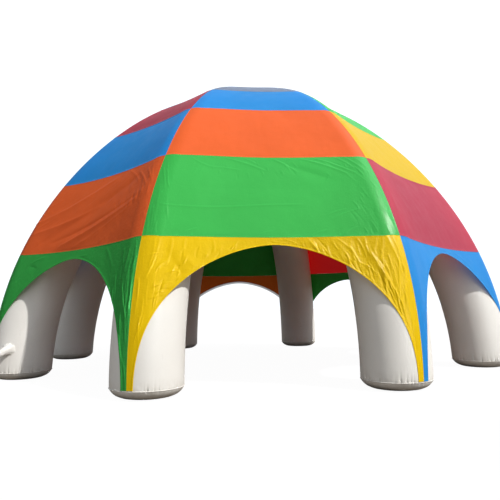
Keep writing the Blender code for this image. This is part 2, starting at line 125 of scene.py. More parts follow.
# Folds and creases: a soft ridge, or a trough where the height is negative, along a slightly bowed line
CREASES = {
    # gore and band: x from, up from, x to, up to, bow, half width, height; x is from the gore's
    # middle and up along the seam, both in metres, and the last three are in millimetres
    ("front", "arch"): (
        (0.55, 2.96, 0.95, 2.68, 0, 100, 11), (1.15, 2.98, 1.45, 2.51, 0, 100, 12.1),
        (1.62, 2.98, 1.80, 2.26, 0, 100, -13.2), (1.75, 2.81, 2.15, 2.06, 0, 100, 14.3),
        (-1.75, 2.66, -1.45, 2.36, 0, 120, 11), (-2.05, 2.76, -1.70, 2.16, 0, 120, -9.9),
        (0.66, 3.01, 1.05, 2.49, -30, 29, 12.5), (0.84, 3.01, 0.98, 2.80, 0, 22, -7.8),
        (1.22, 2.99, 1.50, 2.68, 20, 24, 9.4), (1.42, 2.86, 1.62, 2.44, 0, 23, 7.8),
        (1.60, 3.01, 1.74, 2.58, 20, 23, 12.5), (1.76, 2.99, 1.82, 2.61, -20, 22, 10.9),
        (1.74, 2.44, 1.78, 2.08, 20, 22, 10.1), (1.84, 2.68, 2.24, 1.86, -20, 26, 13.3),
        (1.92, 2.62, 2.14, 2.16, 20, 20, -9.4), (2.11, 2.98, 2.02, 2.56, 10, 20, 9.4),
        (1.98, 2.98, 1.90, 2.68, 10, 19, 7), (2.20, 2.98, 2.40, 2.18, 20, 24, 10.9),
        (2.32, 2.99, 2.47, 1.96, 20, 24, 11.7), (2.46, 2.96, 2.58, 1.86, 0, 19, 6.2),
        (2.40, 2.04, 2.54, 0.84, -20, 23, 9.4), (2.22, 1.96, 2.44, 0.86, -30, 24, 9.4),
        (2.31, 1.72, 2.56, 0.58, -20, 19, 6.2), (1.33, 2.58, 1.54, 2.22, 20, 23, 7.8),
        (1.60, 2.48, 1.86, 2.28, 20, 22, 7), (0.20, 3.00, 0.46, 2.88, 10, 20, 5.5),
        (-0.10, 2.96, 0.30, 2.90, 0, 17, 3.9), (-2.25, 2.96, -2.34, 2.46, 20, 24, 7),
        (-2.16, 2.96, -2.40, 2.18, 30, 27, 10.1), (-1.94, 2.98, -2.03, 2.46, 20, 24, 7),
        (-1.70, 2.99, -1.73, 2.72, 0, 22, 6.2), (-1.18, 2.99, -1.16, 2.74, 10, 22, 5.5),
        (-2.22, 2.31, -2.04, 2.52, 30, 24, 9.4), (-2.11, 1.99, -1.91, 2.11, 40, 22, 10.1),
        (-2.17, 1.94, -1.95, 1.96, 30, 20, -7.8), (-2.24, 1.74, -2.08, 1.98, 30, 22, 9.4),
        (-2.06, 2.26, -1.82, 2.32, 30, 23, 7), (-2.51, 2.16, -2.57, 1.54, 10, 22, 6.2),
        (-2.43, 1.78, -2.53, 1.18, 20, 20, 6.2),
    ),
    ("front_left", "low"): (
        (-1.60, 3.26, 1.20, 4.61, 0, 160, -33), (-0.60, 3.11, 1.70, 4.11, 0, 160, 26.5),
        (-2.24, 3.82, 0.44, 4.86, -60, 70, 20), (-2.02, 3.56, 0.26, 4.14, -50, 60, 17),
        (-1.18, 3.27, 1.60, 4.08, -50, 60, -22.5), (-0.70, 3.16, 1.62, 3.98, -60, 50, 20),
        (-0.08, 3.10, 1.56, 3.84, -50, 50, 15.5), (0.33, 3.25, 1.29, 3.68, -30, 29, -7.8),
        (0.85, 4.98, 1.48, 4.50, 30, 26, 6.2), (1.34, 4.80, 1.88, 4.28, 20, 23, 8.6),
        (1.64, 4.80, 1.98, 4.36, 10, 19, 7.8), (1.82, 4.74, 2.04, 4.26, 10, 17, 7.8),
        (2.10, 4.36, 2.18, 3.90, 0, 17, 7), (2.16, 3.90, 2.21, 3.42, 0, 19, 7),
    ),
    ("front", "low"): (
        (0.40, 4.91, 1.20, 4.51, 0, 140, -13.6), (-2.19, 3.73, -0.64, 3.77, -30, 25, 4.2),
        (-0.75, 3.76, 0.60, 3.82, 20, 22, 3.6), (-1.59, 5.04, -1.16, 4.79, -30, 22, 3.6),
        (-1.20, 4.80, -0.60, 4.74, 20, 21, 3), (-0.88, 5.09, -0.10, 4.75, 30, 25, 5.4),
        (-0.53, 5.11, -0.20, 4.90, 20, 19, 3.6), (0.02, 5.14, 0.58, 4.72, 30, 24, 5.4),
        (0.58, 5.13, 1.62, 4.61, 50, 26, 6.6), (0.90, 5.14, 1.76, 4.63, 40, 22, 5.4),
        (1.42, 5.12, 1.78, 4.77, 20, 20, 4.8), (1.64, 5.09, 2.02, 4.63, 20, 21, 4.8),
        (1.86, 5.04, 2.10, 4.68, 10, 19, 3.6), (1.12, 3.56, 1.48, 3.67, 20, 19, 3),
        (1.20, 3.46, 1.84, 3.68, 30, 20, 3), (-2.38, 3.72, -2.50, 3.02, 20, 20, 7.2),
        (-2.40, 3.32, -2.43, 3.01, 0, 15, 6), (-2.22, 4.05, -2.34, 3.04, 20, 22, 4.2),
        (2.22, 3.66, 2.44, 3.02, 10, 19, 4.8), (2.34, 3.96, 2.50, 3.06, 10, 16, 4.2),
        (-1.80, 3.06, -1.50, 3.22, 20, 19, 3.6), (-0.40, 3.06, -0.05, 3.18, 20, 19, 3),
        (0.70, 3.06, 1.05, 3.20, 20, 19, 3.6), (1.35, 3.06, 1.62, 3.24, 20, 19, 4.2),
    ),
    ("front_left", "arch"): (
        (-1.64, 2.75, -1.15, 2.90, 20, 29, 10.9), (-1.65, 2.68, -1.35, 2.63, 20, 26, -7.8),
        (-0.50, 2.74, 0.52, 2.83, 20, 22, 5.5), (2.24, 2.92, 2.38, 1.94, 20, 22, 11.7),
        (2.30, 2.40, 2.45, 1.23, 20, 19, 10.1), (2.38, 1.80, 2.49, 0.68, 20, 17, 8.6),
        (2.12, 2.76, 2.26, 1.66, 20, 22, 5.5), (1.20, 2.92, 1.60, 2.46, 30, 29, 5.5),
    ),
    ("front_right", "arch"): (
        (-0.10, 2.78, 0.52, 2.92, 20, 24, 6.2), (0.66, 2.92, 1.14, 2.69, 20, 24, 6.2),
        (-0.50, 2.62, -0.12, 2.74, 20, 22, 4.7), (-2.30, 2.66, -2.46, 1.56, 20, 22, 4.7),
    ),
}
WRINKLES = (
    # gore, band, count, x range, range up, lean of the lines at each end of the x range, drop of a
    # line, half width, height; the last two are in millimetres
    ("front", "arch", 130, (0.25, 2.45), (1.60, 2.97), (0.60, 0.12), (0.10, 0.40), (11, 21), (3, 11)),
    ("front", "arch", 26, (1.95, 2.50), (0.80, 2.90), (0.25, 0.10), (0.30, 0.90), (12, 18), (3, 8)),
    ("front", "arch", 24, (-2.55, -2.05), (0.90, 2.94), (-0.16, -0.20), (0.15, 0.60), (12, 18), (3, 8)),
    ("front", "arch", 16, (-2.20, -1.20), (1.85, 2.75), (-2.60, -1.60), (0.03, 0.11), (14, 22), (4, 10.5)),
    ("front", "arch", 40, (-1.90, -0.40), (2.20, 2.96), (-0.30, -0.70), (0.06, 0.25), (13, 22), (3, 8.5)),
    ("front", "arch", 20, (-0.90, 0.70), (2.78, 2.98), (-0.40, 0.60), (0.04, 0.14), (12, 20), (3, 8)),
    ("front", "low", 46, (1.55, 2.45), (3.04, 4.95), (0.60, 0.14), (0.10, 0.40), (12, 20), (1, 4)),
    ("front", "low", 26, (-1.60, 1.80), (4.62, 5.02), (-0.50, 1.40), (0.05, 0.18), (13, 20), (1, 3)),
    ("front", "low", 24, (-2.54, -2.05), (3.04, 4.90), (-0.06, -0.04), (0.15, 0.60), (12, 18), (2, 6)),
    ("front_left", "low", 40, (0.90, 2.20), (3.90, 5.00), (0.65, 0.10), (0.10, 0.36), (18, 26), (2, 7)),
    ("front_left", "low", 26, (-1.80, 1.20), (3.20, 4.80), (-1.90, -1.50), (0.08, 0.36), (20, 30), (1, 5)),
    ("front_left", "arch", 52, (1.75, 2.50), (0.60, 2.96), (0.20, 0.08), (0.30, 0.90), (15, 24), (5, 14)),
    ("front_left", "arch", 26, (-2.3, -0.4), (2.00, 2.95), (-0.60, -1.10), (0.06, 0.26), (14, 24), (1, 5)),
    ("front_right", "arch", 20, (-0.60, 1.30), (2.62, 2.96), (-1.20, 0.90), (0.06, 0.22), (22, 30), (2, 5)),
)
WRINKLE_SEED = 23
CRUMPLE_AND_PAINTED_SHADE = {
    # gore and band: places across from the gore's middle, and how strong the finest folds are there, with
    # the painted shade that darkens the cloth's colour along with them
    ("front", "arch"): ((-2.6, -2.0, -1.0, -0.4, 0.3, 2.0, 2.3),
                        (0.45, 0.35, 0.40, 0.60, 1.0, 1.0, 0.50)),
    ("front", "low"): ((-2.5, -2.1, 1.2, 2.4), (0.45, 0.12, 0.12, 0.55)),
    ("front_left", "arch"): ((-2.4, 0.0, 1.6, 2.3), (0.70, 0.50, 0.70, 1.0)),
    ("front_left", "low"): ((-2.4, 0.0, 1.2, 2.2), (0.45, 0.40, 0.50, 0.75)),
    # strong here mostly for the painted shade, which dims this sunlit yellow panel
    ("front_right", "middle"): ((0.0,), (1.30,)),
}
CRUMPLE_AND_PAINTED_SHADE_ELSEWHERE = {"arch": 0.30, "low": 0.18, "middle": 0.15, "high": 0.12, "crown": 0.12}
CRUMPLED_PAINTED_SHADE = 0.72  # painted shade: colour of cloth whose finest folds shade each other
SEEN_GORES = ("front", "front_left", "front_right")
LOOSE_SEED = 41  # creases of the gores that the photo doesn't show
RIPPLE_SEED = 77
RIPPLES = (
    # waves per metre across and up, shift from gore to gore, height, share left on the taut panel
    (1.1, 1.1, 17, 0.0100, 1.0),
    (3.1, 3.1, 29, 0.0030, 0.4),
    (7.0, 2.2, 11, 0.0022, 0.4),
)
TAUT_PANEL = ("front", "low")
# A crease's steep and gentle side as shares of its half width, the share of its height that its tips
# have, and the half widths over which it fades past them
CREASE_STEEP, CREASE_GENTLE, CREASE_TIPS, CREASE_FADE = 0.75, 1.4, 0.35, 1.6
BAND_EDGE, ARCH_EDGE = 0.06, 0.05  # over this width the folds rise from a panel's seams
HEM_KEEPS, HEM_REACH = 0.35, 0.12  # share of the folds at a hem, and how far in that reaches
FLUTTER, FLUTTER_SEED = 0.006, 82  # waves of the free hem
FLUTTER_FREE, RIPPLE_FREE = 0.30, 0.25  # distance in from the tubes at which they are at their full
RIPPLE_ON_TUBE = 0.15  # share of the ripples where the cloth lies on a tube

# Legs, their gathers and feet
PUCKERS, PUCKER_SEED = 46, 5  # gathers round the seam ring of a leg
# Depth of the hollows and how far they reach from the ring
RING_PINCH, PINCH_REACH = 0.006, 0.018
LEG_GATHER, GATHER_REACH, REACH_UNEVEN, LEAST_REACH = 0.026, 0.055, 0.07, 0.03
LEG_DIMPLE, DIMPLE_REACH = 0.0045, 0.16
FOOT_GATHER, FOOT_REACH = 0.016, 0.035
LEG_DENT, DENTS_FULL = 0.0030, 0.3  # dents are at their full this far above the ring
FOOT_WAVE, WAVE_BELOW = 0.007, 0.04  # unevenness of the foot's side
WELT_RISE, WELT_BELOW, WELT_HALF = 0.0035, 0.008, 0.006  # and of its sewn welt
GATHER_ROWS = (0, 0.006, 0.014, 0.024, 0.037, 0.053, 0.072, 0.095, 0.122, 0.155, 0.20, 0.26, 0.34, 0.44,
               0.56, 0.70)  # heights of the finest rows above the ring
LEG_ROWS = 62  # rows above those
LEVEL_TO, LEVEL_FADE = 0.9, 1.6  # rows are level up to here and square to the leg this much further
LEG_COLUMNS = (384, 384, 320, 160, 160, 160, 160, 320)
LEG_COARSER = 4  # how many columns become one above the gathers
FOOT_PROFILE = (
    # share of the tube radius, height
    (0.984, RING_HEIGHT - GAP), (1.000, 0.1885), (1.009, 0.1850), (1.008, 0.1805), (0.995, 0.1760),
    (0.984, 0.1640), (0.970, 0.1480), (0.950, 0.1280), (0.922, 0.1050), (0.885, 0.0800),
    (0.836, 0.0560), (0.775, 0.0360), (0.710, 0.0190), (0.640, 0.0090), (0.570, 0.0030),
    (0.500, 0.0000), (0.320, 0.0000), (0.140, 0.0000), (0.030, 0.0000),
)

# Filling sleeve
SLEEVE_LEG = 7
# The solid's facets up to the arch top and round the bare tube, and those that the sleeve's seat is in
SLEEVE_FACETS = (6, 13)
SLEEVE_ROWS, SLEEVE_CELLS = (1, 2), (1, 2)
SLEEVE = (
    # out, aside, drop, radius
    (-0.030, 0.000, 0.000, 0.205),
    (0.012, 0.000, 0.000, 0.150),
    (0.050, 0.005, 0.006, 0.112),
    (0.095, 0.015, 0.018, 0.094),
    (0.150, 0.040, 0.045, 0.088),
    (0.200, 0.080, 0.090, 0.080),
    (0.235, 0.125, 0.140, 0.062),
    (0.245, 0.145, 0.160, 0.036),
    (0.255, 0.165, 0.180, 0.050),
    (0.270, 0.195, 0.215, 0.068),
)
SLEEVE_TIE = 7  # the row of the table that is tied
SLEEVE_FOLDS, SLEEVE_GATHER = 9, 0.16  # folds round the sleeve, and their depth as a share
ROOT_REACH, TIE_REACH = 0.09, 0.05  # how far the gathers reach from its root and its tie

# Camera at the photo's viewing angle, and light from the front right
CAMERA_PLACE = (-1.249, -15.105, 1.602)
CAMERA_HEADING = 4.89  # degrees to the right of +Y
CAMERA_PITCH = 6.51
CAMERA_ROLL = -0.88
CAMERA_LENS = 35.964
CAMERA_SENSOR = 36.0
SUN_HEADING = 49.0  # degrees from -Y towards +X
SUN_HEIGHT = 42.0
SUN_STRENGTH = 3.30
SUN_SOFTNESS = 1.6
# Brightness of the sky overhead, what it loses to the left, and what it gains to the right and to the back
SKY_ON_MATT = (0.63, 0.24, 0.00, -0.08)
SKY_ON_GLOSS = (0.20, 0.95, 0.25, 0.85)
GLOWS = (
    # bright haze, which only shows as shine: heading, height, sharpness, strength
    (28.0, 12.0, 40.0, 40.0),
    (74.0, 50.0, 12.0, 8.0),
)
SKY_BEHIND = 1.25  # what the camera sees
FLOOR_GLOW = 0.97

COLOURS = {
    # name: (colour in reflected light, colour in light that comes through, share that comes through)
    "yellow": ((0.90, 0.60, 0.001), (0.85, 0.42, 0.001), 0.14),
    "green": ((0.047, 0.470, 0.083), (0.012, 0.130, 0.008), 0.12),
    "orange": ((0.96, 0.155, 0.036), (0.36, 0.105, 0.004), 0.22),
    "blue": ((0.024, 0.295, 0.77), (0.020, 0.250, 0.85), 0.20),
    "red": ((0.47, 0.055, 0.100), (0.98, 0.012, 0.008), 0.28),
    "grey": ((0.19, 0.235, 0.34), (0.06, 0.08, 0.13), 0.12),
}
# the last of these colours is painted shade, which the feet are darkened to towards the ground
VINYL, DUST, SCUFF, CONTACT_PAINTED_SHADE = (0.80, 0.785, 0.755), (0.44, 0.40, 0.34), (0.40, 0.38, 0.36), (0.16, 0.14, 0.12)
STITCH_FROM_SEAM, STITCH_FROM_HEM, STITCH_HALF = 0.008, 0.024, 0.0012
STITCHES = 110.0  # in a metre
STITCH_SHARE = 0.7  # of the seam line that is thread
SEAM_DOUBLED, HEM_DOUBLED = (0.012, 0.017), (0.028, 0.034)  # where the doubled cloth ends
WEAVE = 260.0  # fineness of the cloth's threads

UP = np.array([0.0, 0.0, 1.0])
NOISE_TOP = 0.7  # of soft_noise


# Seam lines and surfaces of the tent

def spline_slopes(x, y, first, last):
    """Slopes at the knots of the smooth cubic through (x, y) whose end slopes are given."""
    step = np.diff(x)
    rise = np.diff(y) / step
    matrix = np.eye(len(x))
    right = np.array([first, *np.zeros(len(x) - 2), last])
    for k in range(1, len(x) - 1):
        matrix[k, k - 1:k + 2] = step[k], 2 * (step[k - 1] + step[k]), step[k - 1]
        right[k] = 3 * (step[k] * rise[k - 1] + step[k - 1] * rise[k])
    return np.linalg.solve(matrix, right)


def spline_value(x, y, slopes, s):
    """Heights and slopes of the cubic at each s."""
    k = np.clip(np.searchsorted(x, s) - 1, 0, len(x) - 2)
    step = x[k + 1] - x[k]
    t = (s - x[k]) / step
    value = ((1 + 2 * t) * (1 - t) ** 2 * y[k] + t * (1 - t) ** 2 * step * slopes[k]
             + t * t * (3 - 2 * t) * y[k + 1] + t * t * (t - 1) * step * slopes[k + 1])
    slope = (6 * t * (t - 1) * (y[k] - y[k + 1]) / step
             + (1 - t) * (1 - 3 * t) * slopes[k] + t * (3 * t - 2) * slopes[k + 1])
    return value, slope


def steps_along(points):
    """Distance from each point to the next."""
    return np.linalg.norm(np.diff(points, axis=0), axis=1)


def run_along(steps):
    """Distance of each point from the first, along the steps between them."""
    return np.concatenate(([0], np.cumsum(steps)))


KNOT_RADIUS = np.array([knot[1] for knot in SEAM_KNOTS])
KNOT_HEIGHT = np.array([knot[2] for knot in SEAM_KNOTS])
KNOT_REACH = run_along(np.hypot(np.diff(KNOT_RADIUS), np.diff(KNOT_HEIGHT)))
RADIUS_SLOPES = spline_slopes(KNOT_REACH, KNOT_RADIUS, 0.0, -1.0)
HEIGHT_SLOPES = spline_slopes(KNOT_REACH, KNOT_HEIGHT, 1.0, 0.0)
CROWN_HEIGHT = KNOT_HEIGHT[-1]


def leg_angle(leg):
    leg = leg % len(LEGS)
    pitch = 2 * math.pi / len(LEGS)
    return pitch * (leg - 0.5) + math.radians(LEGS[leg][0])


def half_gore(gore):
    return ((leg_angle(gore + 1) - leg_angle(gore)) % (2 * math.pi)) / 2


def outward(angle):
    return np.array([math.sin(angle), -math.cos(angle), 0.0])


def sideways(angle):
    return np.array([math.cos(angle), math.sin(angle), 0.0])


def seam_at(leg, s):
    """Points of a leg's seam line at lengths s, the outward normals, and how upright the leg is there."""
    angle = leg_angle(leg)
    reach = LEGS[leg % len(LEGS)][1]
    radius, radius_slope = spline_value(KNOT_REACH, KNOT_RADIUS, RADIUS_SLOPES, s)
    height, height_slope = spline_value(KNOT_REACH, KNOT_HEIGHT, HEIGHT_SLOPES, s)
    lean = 1 + reach * (1 - height / CROWN_HEIGHT)
    radius_slope = radius_slope * lean - radius * reach * height_slope / CROWN_HEIGHT
    length = np.hypot(radius_slope, height_slope)
    upright = height_slope / length
    normal = np.outer(upright, outward(angle)) - np.outer(radius_slope / length, UP)
    point = np.outer(radius * lean, outward(angle)) + np.outer(height, UP) + AXIS
    return point, normal, upright


def tube_at(leg, s, angle, radius):
    """Points of a leg's tube at each length s, angle from the seam and radius, and the normals there."""
    point, normal, _ = seam_at(leg, s)
    out = np.cos(angle)[:, None] * normal + np.outer(np.sin(angle), sideways(leg_angle(leg)))
    return point - normal * TUBE_RADIUS + out * radius[:, None], out


def cloth_at(gore, across, s):
    """The smooth cloth of a gore, without its folds, at shares across (0 to 1) and lengths s.

    The cloth lies on one tube, crosses with a slight dip, and lies on the next tube. Gives the
    points, the outward normals, the cloth's whole width, and the distance in from the tubes.
    """
    radius = TUBE_RADIUS + CLOTH_LIFT
    ends = []
    for leg, side in ((gore, 1), (gore + 1, -1)):
        point, normal, upright = seam_at(leg, s)
        contact = np.arctan(np.tan(half_gore(gore)) * upright)
        ends.append([point - normal * TUBE_RADIUS, normal, sideways(leg_angle(leg)) * side, contact])

    def rim(end, turn):
        centre, normal, along, _ = end
        out = np.cos(turn)[:, None] * normal + np.outer(np.sin(turn), along)
        return centre + out * radius, out

    chord = np.linalg.norm(rim(ends[1], ends[1][3])[0] - rim(ends[0], ends[0][3])[0], axis=1)
    dip = SAG * np.minimum(1.0, chord / SAG_SPAN) ** 2
    tilt = np.arctan(4 * dip / np.maximum(chord, 1e-6))
    for end in ends:
        end[3] = end[3] + tilt
    left, right = rim(ends[0], ends[0][3])[0], rim(ends[1], ends[1][3])[0]
    span = np.linalg.norm(right - left, axis=1)
    run = (right - left) / np.maximum(span, 1e-9)[:, None]
    arcs = [radius * end[3] for end in ends]
    width = arcs[0] + span + arcs[1]
    along = across * width
    share = np.clip((along - arcs[0]) / np.maximum(span, 1e-9), 0, 1)
    middle = ends[0][1] + ends[1][1]
    middle /= np.linalg.norm(middle, axis=1)[:, None]
    turn = tilt * (1 - 2 * share)
    point = left + run * (share * span)[:, None] - middle * (dip * 4 * share * (1 - share))[:, None]
    normal = middle * np.cos(turn)[:, None] + run * np.sin(turn)[:, None]
    for end, reach, arc in ((ends[0], along, arcs[0]), (ends[1], width - along, arcs[1])):
        on_tube = reach < arc
        rim_point, rim_normal = rim(end, reach / radius)
        point[on_tube] = rim_point[on_tube]
        normal[on_tube] = rim_normal[on_tube]
    clear = np.minimum(along - arcs[0], width - along - arcs[1])
    return point, normal, width, clear


def gore_middle(gore):
    return leg_angle(gore) + half_gore(gore)


def across_gore(gore, point):
    """How far points are from a gore's middle plane."""
    return (point - AXIS) @ sideways(gore_middle(gore))


def find_on_cloth(gore, x, z):
    """Shares across and lengths along of the cloth's points at x from the gore's middle and height z."""
    across = np.clip(0.5 + x / 5.2, 0, 1)
    s = np.array(z, float)
    for _ in range(14):
        point, _, width, _ = cloth_at(gore, across, s)
        across = np.clip(across + (x - across_gore(gore, point)) / width, 0, 1)
        s = s + z - point[:, 2]
    return across, s


# Relief

def soft_noise(x, y, seed):
    """Smooth noise between about -0.7 and 0.7 that changes over one unit."""
    size = 128
    turn = np.random.default_rng(seed).uniform(0, 2 * math.pi, (size, size))
    column, row = np.floor(x).astype(int), np.floor(y).astype(int)
    ease_x, ease_y = (part ** 3 * (part * (6 * part - 15) + 10) for part in (x - column, y - row))
    total = np.zeros_like(x, dtype=float)
    for right in (0, 1):
        for up in (0, 1):
            angle = turn[(column + right) % size, (row + up) % size]
            slope = np.cos(angle) * (x - column - right) + np.sin(angle) * (y - row - up)
            total += slope * abs(1 - right - ease_x) * abs(1 - up - ease_y)
    return total


def crease(x, s, row):
    """Height of one crease; it is steeper on one side and dies out at its ends."""
    x0, s0, x1, s1, *sizes = row
    bow, width, height = (size / 1000 for size in sizes)
    run = np.array([x1 - x0, s1 - s0])
    length = np.linalg.norm(run)
    run = run / length
    along = ((x - x0) * run[0] + (s - s0) * run[1]) / length
    inside = np.clip(along, 0, 1)
    hump = 4 * inside * (1 - inside)
    aside = (x - x0) * -run[1] + (s - s0) * run[0] - bow * hump
    past = (along - inside) * length / (width * CREASE_FADE)
    side_width = width * np.where(aside > 0, CREASE_STEEP, CREASE_GENTLE)
    taper = CREASE_TIPS + (1 - CREASE_TIPS) * hump ** 0.5
    return height * taper * np.exp(-np.abs(aside / side_width) ** 1.5 - past ** 2)


def loose_creases(gore, band):
    """Creases like the front's for a gore that the photo doesn't show, from its upper corners inwards."""
    rng = np.random.default_rng([LOOSE_SEED, gore, BANDS.index(band)])
    rows = []
    if band == "arch":
        for side in (-1, 1):
            for _ in range(rng.integers(5, 9)):
                x = rng.uniform(1.1, 2.35)
                top = rng.uniform(2.75, 2.94)
                drop = rng.uniform(0.25, 0.85)
                end = x + rng.uniform(0.0, 0.35) * drop
                sizes = rng.uniform(-30, 30), rng.uniform(30, 50), rng.uniform(5, 14)
                rows.append((side * x, top, side * end, top - drop, *sizes))
    if band == "low":
        side = rng.choice((-1, 1))
        for _ in range(rng.integers(4, 7)):
            x = rng.uniform(-1.9, 0.6)
            low = rng.uniform(3.05, 3.9)
            end = x + rng.uniform(0.9, 2.0)
            high = low + rng.uniform(0.4, 1.0)
            sizes = rng.uniform(-50, 50), rng.uniform(45, 90), rng.uniform(-12, 14)
            rows.append((side * x, low, side * end, high, *sizes))
    return rows


def small_wrinkles(name, band):
    """Short creases scattered over the parts of a panel that the photo shows crumpled."""
    rows = []
    for k, (gore, field_band, count, x_range, up, lean, length, width, height) in enumerate(WRINKLES):
        if (gore, field_band) != (name, band):
            continue
        rng = np.random.default_rng([WRINKLE_SEED, k])
        for _ in range(count):
            share = rng.uniform()
            x = x_range[0] + (x_range[1] - x_range[0]) * share
            top = rng.uniform(*up)
            run = rng.uniform(*length)
            slope = (lean[0] + (lean[1] - lean[0]) * share) * rng.normal(1, 0.25) + rng.normal(0, 0.10)
            size = rng.uniform(*height) * rng.choice((1, 1, -1))
            bow, half = rng.uniform(-15, 15), rng.uniform(*width)
            rows.append((x, top, x + slope * run, top - run, bow, half, size))
    return rows


def cloth_relief(gore, band, x, s, clear):
    """Height of the folds, creases and slight ripples of a panel over its smooth cloth."""
    name = GORES[gore][0]
    rows = [*CREASES.get((name, band), ()), *small_wrinkles(name, band)]
    if name not in SEEN_GORES:
        rows += loose_creases(gore, band)
    total = np.zeros_like(x)
    for row in rows:
        total += crease(x, s, row)
    ripple = np.zeros_like(x)
    for k, (across, up, shift, height, taut) in enumerate(RIPPLES):
        wave = soft_noise(x * across + gore * shift, s * up, RIPPLE_SEED + k) * height
        ripple += wave * (taut if (name, band) == TAUT_PANEL else 1.0)
    return total + ripple * np.clip(clear / RIPPLE_FREE + RIPPLE_ON_TUBE, 0, 1)


def crumple_and_painted_shade(gore, band, x):
    """How strongly the finest folds, and the painted shade that goes with them, show across a panel."""
    panel = (GORES[gore][0], band)
    if panel not in CRUMPLE_AND_PAINTED_SHADE:
        return np.full_like(x, CRUMPLE_AND_PAINTED_SHADE_ELSEWHERE[band])
    return np.interp(x, *CRUMPLE_AND_PAINTED_SHADE[panel])


def clear_of_tubes(gore, point, s):
    """Moves points that a trough has taken into a tube out onto the tube."""
    for leg in (gore, gore + 1):
        seam, normal, _ = seam_at(leg, s)
        away = point - (seam - normal * TUBE_RADIUS)
        axis = np.cross(normal, sideways(leg_angle(leg)))
        away = away - axis * (away * axis).sum(1)[:, None]
        distance = np.linalg.norm(away, axis=1)
        lack = np.maximum(TUBE_RADIUS + CLOTH_LIFT - distance, 0)
        point = point + away * (lack / np.maximum(distance, 1e-6))[:, None]
    return point


# Meshes

def new_object(name, data):
    obj = bpy.data.objects.new(name, data)
    bpy.context.scene.collection.objects.link(obj)
    return obj


def grid_object(name, points, columns, rows, uv=None, values=None, closed=False):
    """A mesh of quads from rows of points; uv has a pair for each point, values are float attributes."""
    cells = np.arange(columns if closed else columns - 1)
    row_starts = np.arange(rows - 1)[:, None] * columns
    here, right = row_starts + cells, row_starts + (cells + 1) % columns
    quads = np.stack([here, right, right + columns, here + columns], -1).reshape(-1, 4)
    mesh = bpy.data.meshes.new(name)
    mesh.from_pydata(points.tolist(), [], quads.tolist())
    if uv is not None:
        layer = mesh.uv_layers.new(name="Cloth")
        layer.data.foreach_set("uv", uv[quads.ravel()].astype(np.float32).ravel())
    for key, value in (values or {}).items():
        mesh.attributes.new(key, "FLOAT", "POINT").data.foreach_set("value", value.astype(np.float32))
    mesh.shade_smooth()
    return new_object(name, mesh)


def spread_evenly(first, last, count):
    """Positions from first to last, ends left out."""
    return [first + (last - first) * k / (count + 1) for k in range(1, count + 1)]


def seam_bow(gore, s):
    """How far a line across the gore at each length s bows up in the gore's middle."""
    return np.interp(s, KNOT_REACH, SEAM_BOW.get(GORES[gore][0], np.zeros(len(KNOT_REACH))))


def bowed(gore, u, s):
    """Lengths along the cloth of lines across the gore, with their bow."""
    return s + seam_bow(gore, s) * (1 - (2 * u - 1) ** BOW_POWER)


def panel_object(gore, band, columns, u, s, fade, flutter, lift, marks):
    """A panel's mesh from rows of places on the smooth cloth, with its folds, waving hem and seams."""
    point, normal, width, clear = cloth_at(gore, u, s)
    x = across_gore(gore, point)
    relief = cloth_relief(gore, band, x, s, clear) * fade
    relief += flutter * np.clip(clear / FLUTTER_FREE, 0, 1)
    point = clear_of_tubes(gore, point + normal * relief[:, None], s) + normal * lift[:, None]
    values = {**marks, "crumple_and_painted_shade": crumple_and_painted_shade(gore, band, x)}
    return grid_object(f"panel_{GORES[gore][0]}_{band}", point, columns, len(u) // columns,
                       np.stack([u * width, s], 1), values)


def make_band(gore, band, cells):
    """One whole panel between two band seams."""
    k = BANDS.index(band)
    low = KNOT_REACH[k] + GAP / 2
    high = KNOT_REACH[k + 1] - GAP / 2 if band != "crown" else KNOT_REACH[-1] - CROWN_TIP
    columns, rows = cells
    mean_width = cloth_at(gore, np.array([0.5]), np.array([(low + high) / 2]))[2][0]
    sewn, lifts = zip(*SEAM_ROWS)
    rim = [d / mean_width for d in sewn]
    across = [*rim, *spread_evenly(rim[-1], 1 - rim[-1], columns), *(1 - d for d in rim[::-1])]
    along = [low + d for d in sewn]
    along += [*spread_evenly(along[-1], high - sewn[-1], rows), *(high - d for d in sewn[::-1])]
    u, s = (grid.ravel() for grid in np.meshgrid(across, along))
    side = np.minimum(u, 1 - u) * mean_width
    end = np.minimum(s - low, high - s) if band != "crown" else s - low
    s = bowed(gore, u, s)
    edge = np.minimum(side, end)
    width = cloth_at(gore, u, s)[2]
    marks = {"sewn": edge, "hem": np.ones_like(edge), "run": np.where(side < end, s, u * width)}
    fade = np.clip(edge / BAND_EDGE, 0, 1)
    obj = panel_object(gore, band, len(across), u, s, fade, 0, np.interp(edge, sewn, lifts), marks)
    return obj, band_cut(gore, width, low, high)


def archway(gore, turns):
    """Outline of an archway: x from the gore's middle and height, at turns from 0 (left) to pi (right)."""
    middle = gore_middle(gore)
    halves = []
    for leg, side in ((gore, -1), (gore + 1, 1)):
        foot, _, _ = seam_at(leg, np.array([STRIP_END]))
        halves.append((foot[0] - AXIS) @ sideways(middle) * side - STRIP_WIDTH)
    cosine = np.cos(turns)
    half = np.where(cosine > 0, -halves[0], halves[1])
    x = half * np.abs(cosine) ** (2 / ARCH_SIDE_POWER)
    z = GORES[gore][1] * np.sin(turns) ** (2 / ARCH_TOP_POWER)
    return x, z


def later(share, even):
    """A share from 0 to 1 that grows with the slope even at first and faster towards the end."""
    return even * share + (1 - even) * share ** 3


